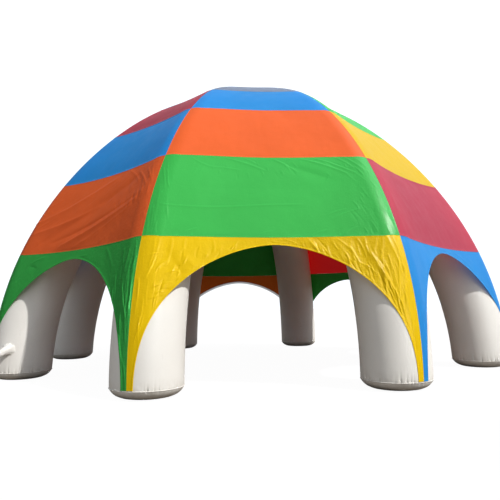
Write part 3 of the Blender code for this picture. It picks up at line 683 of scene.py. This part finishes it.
def fan_lines(gore, columns):
    """Lines from an archway's edge out to the seams round its panel: their inner and outer ends."""
    top = KNOT_REACH[1] - GAP / 2
    start = math.asin((STRIP_END / GORES[gore][1]) ** (ARCH_TOP_POWER / 2))
    turns = np.linspace(start, math.pi - start, FAN_STEPS)
    inner = np.stack(find_on_cloth(gore, *archway(gore, turns)), 1)
    width = cloth_at(gore, np.array([0.5]), np.array([top]))[2][0]
    _, seam_start = find_on_cloth(gore, np.array([-9.0, 9.0]), np.array([STRIP_END] * 2))
    outer = np.zeros_like(inner)
    middle = len(turns) // 2
    corners = []
    for side in (0, 1):
        order = np.arange(len(turns))[::1 - 2 * side][:middle + 1]
        u, s = abs(side - inner[order, 0]), inner[order, 1]
        k = int(np.argmin((u * width) ** 2 + (top - s) ** 2))
        corners.append(order[k])
        low, high = order[:k + 1], order[k:]
        rise = s[k] - s[0]
        height = top - seam_start[side]
        outer[low, 0] = side
        outer[low, 1] = seam_start[side] + height * later((s[:k + 1] - s[0]) / rise, rise / height)
        reach = 0.5 - u[k]
        outer_u = 0.5 - 0.5 * later((0.5 - u[k:]) / reach, reach / 0.5)
        outer[high, 0] = outer_u if side == 0 else 1 - outer_u
        outer[high, 1] = top
    scale = np.array([width, 1.0])
    inner_steps, outer_steps = (steps_along(ends * scale) for ends in (inner, outer))
    length = run_along((inner_steps + outer_steps) / 2)
    stops = [0, corners[0], middle, corners[1], len(turns) - 1]
    places = []
    for first, last in zip(stops, stops[1:]):
        count = max(2, round(columns * (length[last] - length[first]) / length[-1]))
        places += list(np.linspace(length[first], length[last], count, endpoint=False))
    places = np.array(places + [length[-1]])

    def pick(ends):
        return np.stack([np.interp(places, length, ends[:, k]) for k in (0, 1)], 1)

    ends = pick(outer)
    ends[:, 1] = bowed(gore, ends[:, 0], ends[:, 1])
    return pick(inner), ends, width, np.interp(places, length, run_along(inner_steps))


def make_arch_panel(gore, band, cells):
    """The panel over an archway, with its two strips down the legs and a turned hem along its edge."""
    columns, rows = cells
    inner, outer, width, inner_run = fan_lines(gore, columns)
    reach = np.linalg.norm((outer - inner) * np.array([width, 1.0]), axis=1)
    start = np.zeros_like(reach)
    if gore == TAPE_GORE:
        free = cloth_at(gore, inner[:, 0], inner[:, 1])[3]
        start = (TAPE_WIDTH - TAPE_LAP) * np.clip((free - TAPE_END) / TAPE_SLOPE, 0, 1)
    first, last = start + HEM_ROWS[-1][0], SEAM_ROWS[-1][0]
    lines = [(start + d, lift) for d, lift in HEM_ROWS]
    lines += [(first + (reach - last - first) * share, 0.0) for share in spread_evenly(0, 1, rows)]
    lines += [(reach - d, lift) for d, lift in SEAM_ROWS[::-1]]
    distance = np.array([line[0] for line in lines])
    share = (distance / reach)[..., None]
    u, s = (inner * (1 - share) + outer * share).reshape(-1, 2).T
    edge, hem = (reach - distance).ravel(), (distance - start).ravel()
    lift = np.repeat([line[1] for line in lines], len(reach))
    run = np.tile(inner_run, len(lines))
    fade = np.clip(edge / ARCH_EDGE, 0, 1) * np.clip(HEM_KEEPS + hem / HEM_REACH, 0, 1)
    flutter = soft_noise(run * 2.3 + gore * 13, hem * 1.5, FLUTTER_SEED) * FLUTTER
    flutter *= np.exp(-hem / HEM_REACH)
    marks = {"sewn": edge, "hem": hem, "run": np.where(hem < edge, run, s)}
    obj = panel_object(gore, band, len(inner), u, s, fade, flutter, lift, marks)
    return obj, arch_cut(gore, inner, outer)


def arch_cut(gore, inner, outer):
    """Width, length and area of the flat cut of an arch panel, its turned hem and seams included."""
    flat = []
    for ends in (inner, outer):
        width = cloth_at(gore, ends[:, 0], ends[:, 1])[2]
        flat.append(np.stack([(ends[:, 0] - 0.5) * width, ends[:, 1]], 1))
    hem, seam = (steps_along(edge).sum() for edge in flat)
    x, y = np.concatenate([flat[0], flat[1][::-1]]).T
    area = abs(np.dot(x, np.roll(y, 1)) - np.dot(y, np.roll(x, 1))) / 2
    return np.ptp(x) + 2 * SEAM_TURN, np.ptp(y) + SEAM_TURN, area + hem * HEM_TURN + seam * SEAM_TURN


def band_cut(gore, width, low, high):
    """Width, length and area of the flat cut of a whole panel, its seams included."""
    across = width + 2 * SEAM_TURN
    down = high - low + 2 * SEAM_TURN
    mean_bow = (seam_bow(gore, high) - seam_bow(gore, low)) * BOW_POWER / (BOW_POWER + 1)
    return across.max(), down + seam_bow(gore, high), across.mean() * (down + mean_bow)


# Legs and feet

def pucker(leg, angle):
    """How deep the gathers at a leg's seam ring are at each angle, from 0 to about 1."""
    rng = np.random.default_rng([PUCKER_SEED, leg])
    total = np.zeros_like(angle)
    for k in range(PUCKERS):
        centre = 2 * math.pi * (k + rng.uniform(-0.35, 0.35)) / PUCKERS
        width = rng.uniform(0.016, 0.028)
        depth = rng.uniform(0.15, 1.1) ** 1.6
        away = (angle - centre + math.pi) % (2 * math.pi) - math.pi
        total = np.maximum(total, depth * np.exp(-(away / width) ** 2))
    return total


def leg_radius(leg, angle, length):
    """Radius of a leg with its pinch, gathers and dimples at the seam ring and slight dents further up."""
    above = np.maximum(length - RING_HEIGHT, 0)
    reach = GATHER_REACH + REACH_UNEVEN * soft_noise(angle * 6, np.full_like(angle, leg * 3.7), 9)
    dimples = NOISE_TOP - soft_noise(angle * 7, above * 9 + leg, 11)
    dents = NOISE_TOP - soft_noise(angle * 1.6, length * 0.8 + leg * 5, 13)
    radius = TUBE_RADIUS - RING_PINCH * np.exp(-above / PINCH_REACH)
    radius -= LEG_GATHER * pucker(leg, angle) * np.exp(-above / np.maximum(reach, LEAST_REACH))
    radius -= LEG_DIMPLE * dimples * np.exp(-above / DIMPLE_REACH)
    return radius - LEG_DENT * dents * np.clip(above / DENTS_FULL, 0, 1)


def make_leg(leg, columns):
    """An air tube from its seam ring to the crown, where it is mitred against its two neighbours."""
    heights = RING_HEIGHT + np.array(GATHER_ROWS)
    lengths = np.concatenate([heights, np.linspace(heights[-1], KNOT_REACH[-1], LEG_ROWS)[1:]])
    angles = np.linspace(0, 2 * math.pi, columns, endpoint=False)
    angle, length = (grid.ravel() for grid in np.meshgrid(angles, lengths))
    level = np.clip(1 - (length - LEVEL_TO) / LEVEL_FADE, 0, 1)
    s = length
    for _ in range(5):
        point, _ = tube_at(leg, s, angle, np.full_like(s, TUBE_RADIUS))
        s = s + (length - point[:, 2]) * level
    s = length * (1 - level) + s * level
    point, _ = tube_at(leg, s, angle, leg_radius(leg, angle, length))
    point[:columns, 2] = RING_HEIGHT
    bm = bmesh.new()
    rings = []
    for row in range(len(lengths)):
        step = 1 if row < len(heights) else LEG_COARSER
        rings.append([bm.verts.new(point[row * columns + k]) for k in range(0, columns, step)])
    for below, higher in zip(rings, rings[1:]):
        step = len(below) // len(higher)
        for k in range(len(higher)):
            edge = [below[(k * step + j) % len(below)] for j in range(step + 1)]
            bm.faces.new(edge + [higher[(k + 1) % len(higher)], higher[k]])
    bm.faces.new(rings[0])
    bm.faces.new(rings[-1])
    for gore, side in ((leg, 1), (leg - 1, -1)):
        normal = sideways(gore_middle(gore)) * side
        cut = bmesh.ops.bisect_plane(bm, geom=bm.verts[:] + bm.edges[:] + bm.faces[:],
                                     plane_co=AXIS - normal * GAP / 2, plane_no=normal, clear_outer=True)
        edges = [item for item in cut["geom_cut"] if isinstance(item, bmesh.types.BMEdge)]
        bmesh.ops.edgeloop_fill(bm, edges=edges)
    bmesh.ops.recalc_face_normals(bm, faces=bm.faces)
    mesh = bpy.data.meshes.new(f"air_leg_{leg + 1}")
    bm.to_mesh(mesh)
    bm.free()
    mesh.shade_smooth()
    mesh.set_sharp_from_angle(angle=math.radians(50))
    return new_object(mesh.name, mesh)


def make_foot(leg, columns):
    """The round end below a leg's seam ring: a thin sewn welt, gathers below it and a flat underside."""
    angles = np.linspace(0, 2 * math.pi, columns, endpoint=False)
    point, normal, _ = seam_at(leg, np.array([RING_HEIGHT]))
    centre = (point - normal * TUBE_RADIUS)[0]
    gather = pucker(leg, angles)
    wave = soft_noise(angles * 9, np.full_like(angles, leg * 2.3), 15)
    heading = leg_angle(leg) - math.pi / 2 + angles
    rows = []
    for share, height in FOOT_PROFILE:
        below = RING_HEIGHT - height
        radius = TUBE_RADIUS * share - FOOT_GATHER * gather * math.exp(-below / FOOT_REACH)
        radius += FOOT_WAVE * wave * math.exp(-((below - WAVE_BELOW) / WAVE_BELOW) ** 2)
        rise = WELT_RISE * wave * math.exp(-((below - WELT_BELOW) / WELT_HALF) ** 2)
        rows.append(np.stack([centre[0] + radius * np.cos(heading), centre[1] + radius * np.sin(heading),
                              height + rise], 1))
    inner = rows[0].copy()
    inner[:, :2] = centre[:2] + (inner[:, :2] - centre[:2]) * 0.5
    points = np.concatenate([inner, *rows][::-1])
    return grid_object(f"air_foot_{leg + 1}", points, columns, len(rows) + 1, closed=True)


def sleeve_seat():
    """Middle and outward direction of the solid's facet that the filling sleeve is sewn to."""
    upper = KNOT_REACH[1] / SLEEVE_FACETS[0]
    corners = []
    for row in SLEEVE_ROWS:
        s = np.array([upper * row])
        upright = seam_at(SLEEVE_LEG, s)[2]
        right, left = (np.arctan(np.tan(half_gore(SLEEVE_LEG - back)) * upright) for back in (0, 1))
        for cell in SLEEVE_CELLS:
            turn = right + (2 * math.pi - left - right) * cell / SLEEVE_FACETS[1]
            corners.append(tube_at(SLEEVE_LEG, s, turn, np.array([TUBE_RADIUS]))[0][0])
    seat = sum(corners) / 4
    out = np.cross(corners[3] - corners[0], corners[2] - corners[1])
    out /= np.linalg.norm(out)
    seam, normal, _ = seam_at(SLEEVE_LEG, np.array([upper]))
    return seat, out * np.sign(np.dot(out, seat - (seam - normal * TUBE_RADIUS)[0]))


def make_sleeve(columns=72, steps=56):
    """The tied filling sleeve, gathered at its root and at its tie."""
    seat, out = sleeve_seat()
    aside = np.cross(out, UP)
    keys = np.array([seat + out * reach + aside * off - UP * drop for reach, off, drop, _ in SLEEVE])
    length = run_along(steps_along(keys))
    at = np.linspace(0, length[-1], steps)
    line = np.stack([np.interp(at, length, keys[:, k]) for k in range(3)], 1)
    for _ in range(3):
        line[1:-1] = (line[:-2] + 2 * line[1:-1] + line[2:]) / 4
    radius = np.interp(at, length, [row[3] for row in SLEEVE])
    angles = np.linspace(0, 2 * math.pi, columns, endpoint=False)
    rows = []
    for k, (centre, size) in enumerate(zip(line, radius)):
        ahead = line[min(k + 1, steps - 1)] - line[max(k - 1, 0)]
        ahead /= np.linalg.norm(ahead)
        over = np.cross(ahead, np.cross(UP, ahead))
        over /= np.linalg.norm(over)
        beside = np.cross(over, ahead)
        from_tie = at[k] - length[SLEEVE_TIE]
        gather = SLEEVE_GATHER * (np.exp(-at[k] / ROOT_REACH) + np.exp(-(from_tie / TIE_REACH) ** 2))
        fold = 0.5 + 0.5 * np.cos(angles * SLEEVE_FOLDS + 1.3 * np.sin(angles * 2 + at[k] * 8))
        uneven = 0.10 * soft_noise(angles * 1.9, np.full_like(angles, at[k] * 11), 21)
        grown = size * (1 - fold * gather + uneven)
        ring = np.outer(grown * np.cos(angles), over) + np.outer(grown * np.sin(angles), beside)
        rows.append(centre + ring)
    root, tip = ([edge.mean(0) + (edge - edge.mean(0)) * share for share in (0.6, 0.05)]
                 for edge in (rows[0], rows[-1]))
    rows = root[::-1] + rows + tip
    return grid_object("filling_sleeve", np.concatenate(rows), columns, len(rows), closed=True)


def make_tape():
    """White tape along the inside of the back archway's edge, clear of both legs."""
    x, z = archway(TAPE_GORE, np.linspace(0.05, math.pi - 0.05, 400))
    clear = cloth_at(TAPE_GORE, *find_on_cloth(TAPE_GORE, x, z))[3]
    keep = clear > TAPE_END
    x, z = x[keep], z[keep]
    slope = np.stack([np.gradient(x), np.gradient(z)], 1)
    slope /= np.linalg.norm(slope, axis=1)[:, None]
    rows = []
    steps = np.linspace(0.002, TAPE_WIDTH, 8)
    for step in steps:
        u, s = find_on_cloth(TAPE_GORE, x - slope[:, 1] * step, z + slope[:, 0] * step)
        point, normal, _, _ = cloth_at(TAPE_GORE, u, s)
        rows.append(point - normal * TAPE_BELOW)
    run = run_along(steps_along(rows[0]))
    uv = np.concatenate([np.stack([run, np.full_like(run, step)], 1) for step in steps])
    return grid_object("archway_tape", np.concatenate(rows), len(x), len(rows), uv), run[-1]


# Materials

class Nodes:
    """A short way to build the node tree of a material or of the world."""

    def __init__(self, owner):
        owner.use_nodes = True
        self.tree = owner.node_tree
        self.tree.nodes.clear()

    def add(self, kind, inputs=(), **settings):
        """Adds a node and gives its outputs; an input is a socket, a number, a vector or a colour."""
        node = self.tree.nodes.new("ShaderNode" + kind)
        for key, value in settings.items():
            setattr(node, key, value)
        for key, value in dict(inputs).items():
            socket = node.inputs[key]
            if isinstance(value, bpy.types.NodeSocket):
                self.tree.links.new(value, socket)
            else:
                socket.default_value = (*value, 1.0) if socket.type == "RGBA" else value
        return node.outputs

    def value(self, operation, *inputs):
        return self.add("Math", dict(enumerate(inputs)), operation=operation)[0]

    def times(self, first, second):
        return self.value("MULTIPLY", first, second)

    def total(self, first, *others):
        for other in others:
            first = self.value("ADD", first, other)
        return first

    def blend(self, share, first, second):
        """A mix of two colours."""
        return self.add("Mix", {0: share, 6: first, 7: second}, data_type="RGBA")[2]

    def mixed(self, share, first, second):
        """A mix of two numbers."""
        return self.add("Mix", {0: share, 2: first, 3: second})[0]

    def attribute(self, name):
        return self.add("Attribute", attribute_name=name)["Fac"]

    def range(self, value, low, high, to_low=0.0, to_high=1.0):
        return self.add("MapRange", {0: value, 1: low, 2: high, 3: to_low, 4: to_high})[0]

    def noise(self, vector, scale, detail=2.0, roughness=0.5):
        return self.add("TexNoise", {"Vector": vector, "Scale": scale, "Detail": detail,
                                     "Roughness": roughness})["Fac"]

    def ridges(self, vector, scale, height):
        """Sharp ridges between soft hollows."""
        fold = self.value("ABSOLUTE", self.value("SUBTRACT", self.noise(vector, scale, 2.0, 0.55), 0.5))
        return self.times(fold, -height)

    def ribs(self, uv, scale, direction):
        return self.add("TexWave", {"Vector": uv, "Scale": scale}, bands_direction=direction)["Fac"]

    def bump(self, height, strength):
        return self.add("Bump", {"Height": height, "Strength": strength, "Distance": 1.0})[0]


def scaled(colour, factor):
    return tuple(min(1.0, c * factor) for c in colour)


def new_material(name):
    material = bpy.data.materials.new(name)
    return material, Nodes(material)


def cloth_sewing(n):
    """Where the cloth is doubled at seams and hems, and where its stitches are."""
    sewn, hem = n.attribute("sewn"), n.attribute("hem")
    doubled = n.value("MAXIMUM", n.range(sewn, *SEAM_DOUBLED, 1.0, 0.0),
                      n.range(hem, *HEM_DOUBLED, 1.0, 0.0))
    lines = []
    for distance, place in ((sewn, STITCH_FROM_SEAM), (hem, STITCH_FROM_HEM)):
        away = n.value("ABSOLUTE", n.value("SUBTRACT", distance, place))
        lines.append(n.value("LESS_THAN", away, STITCH_HALF))
    dash = n.value("LESS_THAN", n.value("FRACT", n.times(n.attribute("run"), STITCHES)), STITCH_SHARE)
    return doubled, n.times(n.value("MAXIMUM", *lines), dash)


def cloth_colour(n, place, colour, doubled, stitch):
    """Slightly uneven dye, with painted shade where the finest folds are, brighter where doubled, dark at
    the stitches.
    """
    base = n.blend(n.range(n.noise(place, 0.9, 3.0), 0.3, 0.7), scaled(colour, 0.94), scaled(colour, 1.05))
    specks = n.range(n.noise(place, 9.0, 4.0, 0.6), 0.35, 0.75)
    # the strength of the finest folds also darkens the colour: painted shade
    for where, share, shade in ((specks, 0.12, 0.80), (n.attribute("crumple_and_painted_shade"), 0.80, CRUMPLED_PAINTED_SHADE),
                                (doubled, 0.35, 1.12), (stitch, 1.00, 0.55)):
        base = n.blend(n.times(where, share), base, scaled(colour, shade))
    return base


def cloth_bumps(n, place, stitch):
    """Height of the weave, the crinkles, the finest folds and the stitches over the mesh."""
    uv = n.add("UVMap", uv_map="Cloth")["UV"]
    weave = n.total(n.ribs(uv, WEAVE, "X"), n.ribs(uv, WEAVE, "Y"))
    drawn = n.add("Mapping", {"Vector": uv, "Rotation": (0.0, 0.0, 0.25), "Scale": (20.0, 3.5, 1.0)})[0]
    folds = n.total(n.ridges(drawn, 1.0, 0.018), n.ridges(uv, 5.5, 0.030), n.ridges(uv, 13.0, 0.013))
    return n.total(n.times(weave, 0.00012), n.times(n.noise(place, 16.0, 3.0, 0.55), 0.0016),
                   n.times(n.noise(place, 5.0), 0.0030), n.times(folds, n.attribute("crumple_and_painted_shade")),
                   n.times(stitch, -0.0012))


def cloth_material(name, colour, through, share):
    """Thin coated nylon with a fine weave and uneven gloss, doubled and stitched at seams and hems."""
    material, n = new_material(f"{name}_nylon")
    place = n.add("TexCoord")["Object"]
    doubled, stitch = cloth_sewing(n)
    bump = n.bump(cloth_bumps(n, place, stitch), 0.55)
    shader = n.add("BsdfPrincipled", {
        "Base Color": cloth_colour(n, place, colour, doubled, stitch), "Normal": bump,
        "Roughness": n.range(n.noise(place, 4.0, 3.0), 0.3, 0.7, 0.44, 0.56), "Specular IOR Level": 0.06,
        "Coat Weight": 0.20, "Coat Roughness": 0.29})[0]
    shine_through = n.blend(n.times(doubled, 0.45), through, (0.02, 0.02, 0.02))
    light = n.add("BsdfTranslucent", {"Color": shine_through, "Normal": bump})[0]
    n.add("OutputMaterial", {0: n.add("MixShader", {0: share, 1: shader, 2: light})[0]})
    return material


def vinyl_material():
    """Off-white coated tube cloth: soft sheen, faint weave, dust and scuffs towards the ground, and painted
    shade darkening the feet where they meet the ground.
    """
    material, n = new_material("white_tube_vinyl")
    place = n.add("TexCoord")["Object"]
    height = n.add("SeparateXYZ", {0: place})["Z"]
    base = n.blend(n.range(n.noise(place, 0.8, 3.0), 0.3, 0.7), scaled(VINYL, 0.96), scaled(VINYL, 1.02))
    dust = n.times(n.range(height, 0.02, 0.42, 1.0, 0.0),
                   n.range(n.noise(place, 7.0, 5.0, 0.65), 0.35, 0.75))
    scuff = n.times(n.range(n.noise(place, 2.6, 6.0, 0.7), 0.64, 0.76),
                    n.range(height, 0.3, 1.6, 1.0, 0.15))
    # painted shade: darkens the foot towards the ground, where it meets the floor
    contact_painted_shade = n.range(height, 0.0, 0.16, 1.0, 0.0)
    for where, share, colour in ((dust, 0.55, DUST), (scuff, 0.30, SCUFF), (contact_painted_shade, 0.75, CONTACT_PAINTED_SHADE)):
        base = n.blend(n.times(where, share), base, colour)
    dents = n.total(n.times(n.noise(place, 260.0), 0.0004), n.times(n.noise(place, 6.0, 3.0), 0.004))
    shader = n.add("BsdfPrincipled", {
        "Base Color": base, "Roughness": n.range(n.noise(place, 3.0, 4.0), 0.3, 0.7, 0.42, 0.56),
        "Normal": n.bump(dents, 0.4), "Specular IOR Level": 0.10, "Coat Weight": 0.04,
        "Coat Roughness": 0.35})[0]
    n.add("OutputMaterial", {0: shader})
    return material


def tape_material():
    """White woven tape with ribs across it."""
    material, n = new_material("white_tape")
    ribs = n.ribs(n.add("UVMap", uv_map="Cloth")["UV"], 90.0, "X")
    uneven = n.range(n.noise(n.add("TexCoord")["Object"], 3.0, 3.0), 0.3, 0.7)
    shader = n.add("BsdfPrincipled", {
        "Base Color": n.blend(uneven, (0.74, 0.73, 0.71), (0.84, 0.83, 0.81)), "Roughness": 0.6,
        "Normal": n.bump(n.times(ribs, 0.0008), 0.6)})[0]
    light = n.add("BsdfTranslucent", {"Color": (0.95, 0.95, 0.95)})[0]
    n.add("OutputMaterial", {0: n.add("MixShader", {0: 0.85, 1: shader, 2: light})[0]})
    return material


# Camera, light and floor

def make_camera():
    heading, pitch, roll = (math.radians(a) for a in (CAMERA_HEADING, CAMERA_PITCH, CAMERA_ROLL))
    camera = new_object("camera", bpy.data.cameras.new("camera"))
    camera.data.lens = CAMERA_LENS
    camera.data.sensor_width = CAMERA_SENSOR
    camera.data.clip_end = 500.0
    camera.matrix_world = (Matrix.Translation(CAMERA_PLACE) @ Matrix.Rotation(-heading, 4, "Z")
                           @ Matrix.Rotation(math.pi / 2 + pitch, 4, "X") @ Matrix.Rotation(roll, 4, "Z"))
    bpy.context.scene.camera = camera


def heading_vector(heading, height):
    """Direction at a heading from -Y towards +X and a height above the horizon, in degrees."""
    heading, height = math.radians(heading), math.radians(height)
    level = math.cos(height)
    return Vector((math.sin(heading) * level, -math.cos(heading) * level, math.sin(height)))


def make_light():
    sun = new_object("sun", bpy.data.lights.new("sun", "SUN"))
    sun.rotation_mode = "QUATERNION"
    sun.rotation_quaternion = heading_vector(SUN_HEADING, SUN_HEIGHT).to_track_quat("Z", "Y")
    sun.data.energy = SUN_STRENGTH
    sun.data.angle = math.radians(SUN_SOFTNESS)
    sun.data.color = (1.0, 0.97, 0.92)


def make_sky():
    world = bpy.data.worlds.new("sky")
    n = Nodes(world)
    ray = n.add("LightPath")
    direction = n.add("TexCoord")["Generated"]
    towards = n.add("SeparateXYZ", {0: direction})
    strengths = []
    for overhead, left, right, back in (SKY_ON_MATT, SKY_ON_GLOSS):
        strength = n.value("MULTIPLY_ADD", towards["Y"], back, overhead)
        strength = n.value("MULTIPLY_ADD", n.value("MINIMUM", towards["X"], 0.0), left, strength)
        strength = n.value("MULTIPLY_ADD", n.value("MAXIMUM", towards["X"], 0.0), right, strength)
        strengths.append(n.value("MAXIMUM", strength, 0.0))
    for heading, height, sharpness, gain in GLOWS:
        facing = n.add("VectorMath", {0: direction, 1: heading_vector(heading, height)},
                       operation="DOT_PRODUCT")["Value"]
        glow = n.value("POWER", n.value("MAXIMUM", facing, 0.0), sharpness)
        strengths[1] = n.value("MULTIPLY_ADD", glow, gain, strengths[1])
    strength = n.mixed(ray["Is Glossy Ray"], *strengths)
    strength = n.mixed(ray["Is Camera Ray"], strength, SKY_BEHIND)
    sky = n.add("Background", {"Color": (0.90, 0.95, 1.0), "Strength": strength})[0]
    n.add("OutputWorld", {0: sky})
    bpy.context.scene.world = world


def make_floor():
    bpy.ops.mesh.primitive_plane_add(size=600.0, location=(0, 0, -0.001))
    floor = bpy.context.active_object
    floor.name = "floor"
    material, n = new_material("floor")
    seen = n.add("LightPath")["Is Camera Ray"]
    diffuse = n.add("BsdfDiffuse", {0: n.blend(seen, (0.225, 0.19, 0.155), (0.05, 0.05, 0.05))})[0]
    glow = n.add("Emission", {"Color": (1, 1, 1), "Strength": n.times(seen, FLOOR_GLOW)})[0]
    n.add("OutputMaterial", {0: n.add("AddShader", {0: diffuse, 1: glow})[0]})
    floor.data.materials.append(material)


def finish_piece(obj, node, material):
    obj.data.materials.append(material)
    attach(obj, "root")
    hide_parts(node)


def main():
    make_camera()
    make_light()
    make_sky()
    make_floor()
    cloths = {name: cloth_material(name, *colours) for name, colours in COLOURS.items()}
    vinyl = vinyl_material()
    for leg, columns in enumerate(LEG_COLUMNS):
        for name, make in (("leg", make_leg), ("foot", make_foot)):
            piece = make(leg, columns)
            finish_piece(piece, f"{name}_{leg + 1}", vinyl)
    sleeve = make_sleeve()
    finish_piece(sleeve, "sleeve", vinyl)
    for gore, (name, _, *colours) in enumerate(GORES):
        for band, colour in zip(BANDS, colours + ["grey"]):
            make = make_arch_panel if band == "arch" else make_band
            panel, flat = make(gore, band, PANEL_CELLS[band][FINE_GORES.get(name, 2)])
            finish_piece(panel, f"cloth_{name}_{band}", cloths[colour])
    tape, length = make_tape()
    finish_piece(tape, "edge_tape_back", tape_material())
    bpy.context.scene.view_settings.view_transform = "Standard"


main()
